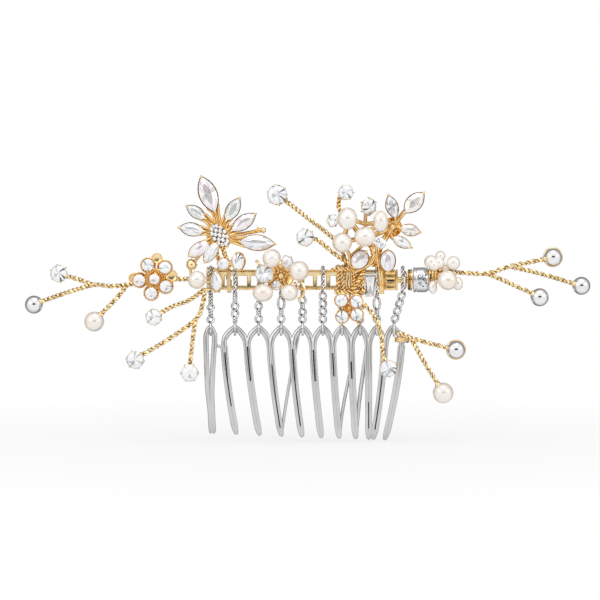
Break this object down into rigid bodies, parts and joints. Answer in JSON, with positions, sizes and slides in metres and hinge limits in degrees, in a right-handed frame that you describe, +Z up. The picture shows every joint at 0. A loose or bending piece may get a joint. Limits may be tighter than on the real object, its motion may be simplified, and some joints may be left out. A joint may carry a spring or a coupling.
{
  "type": "decorative hair comb",
  "caption": "Silver wire hair comb hung by twisted ties from a gold gallery bar with pearl, crystal and leaf sprays and side sprigs.",
  "frame": {"origin": "middle of the comb, level with its lowest tooth tip, where the hair holds it", "axes": "+Z up from the tooth tips to the ornament, -Y is the front that is seen, +X to the right of the front view"},
  "size_m": [0.142, 0.0168, 0.0665],
  "materials": {
    "gold_wire": "polished, gold plated",
    "pale_gold": "hammered",
    "amber_gold": "dark amber, polished",
    "silver_wire": "bright",
    "pearl": "nacre",
    "crystal": "cut and polished",
    "blush_crystal": "cut and polished",
    "mint_crystal": "cut and polished",
    "peach_crystal": "cut and polished"
  },
  "bodies": {
    "comb": {"comb_wire": "silver_wire", "lower_right_sprig": "gold_wire", "lower_right_ball": "silver_wire", "lower_right_pearl": "pearl"},
    "ornament": {"gallery_bar": "gold_wire", "bar_sleeve": "gold_wire", "left_sprig": "gold_wire", "left_flower": "gold_wire", "lower_left_sprig": "gold_wire", "leaf_frame": "gold_wire", "centre_flower_frame": "gold_wire", "long_stem": "gold_wire", "short_stem": "gold_wire", "right_frame": "gold_wire", "lower_flower": "gold_wire", "right_sprig": "gold_wire", "tie_01": "silver_wire", "tie_02": "silver_wire", "tie_03": "silver_wire", "tie_04": "silver_wire", "tie_05": "silver_wire", "tie_06": "silver_wire", "tie_07": "silver_wire", "tie_08": "silver_wire", "tie_09": "silver_wire", "tie_10": "silver_wire", "barrel_bead": "silver_wire", "left_sprig_ball": "silver_wire", "right_ball_top": "silver_wire", "right_ball_end": "silver_wire", "right_ball_low": "silver_wire", "left_sprig_pearl": "pearl", "bar_end_pearl": "pearl", "centre_pearl_top": "pearl", "centre_pearl_right": "pearl", "centre_pearl_lower_left": "pearl", "centre_pearl_lower_right": "pearl", "right_pearl_top": "pearl", "right_pearl_left": "pearl", "right_pearl_middle": "pearl", "right_pearl_oval": "pearl", "cluster_pearl_large": "pearl", "cluster_pearl_baroque": "pearl", "keystone_stone": "crystal", "drop_stone": "crystal", "leaf_stone_left": "crystal", "leaf_stone_lower_right": "crystal", "right_stone_top": "crystal", "right_stone_lower": "crystal", "leaf_stone_top": "blush_crystal", "leaf_stone_lower_left": "blush_crystal", "leaf_stone_right": "blush_crystal", "oval_stone_right": "blush_crystal", "oval_stone_left": "blush_crystal", "leaf_stone_upper_left": "mint_crystal", "leaf_stone_upper_right": "mint_crystal", "right_stone_upper": "peach_crystal", "right_stone_side": "peach_crystal", "spacer_bead": "pale_gold", "end_ring": "amber_gold"}
  },
  "joints": [
    {"name": "ornament_tilt", "type": "hinge", "parent": "comb", "child": "ornament", "pos_m": [0, 0, 0.02842], "axis": [1, 0, 0], "range_deg": [-20, 12]}
  ]
}
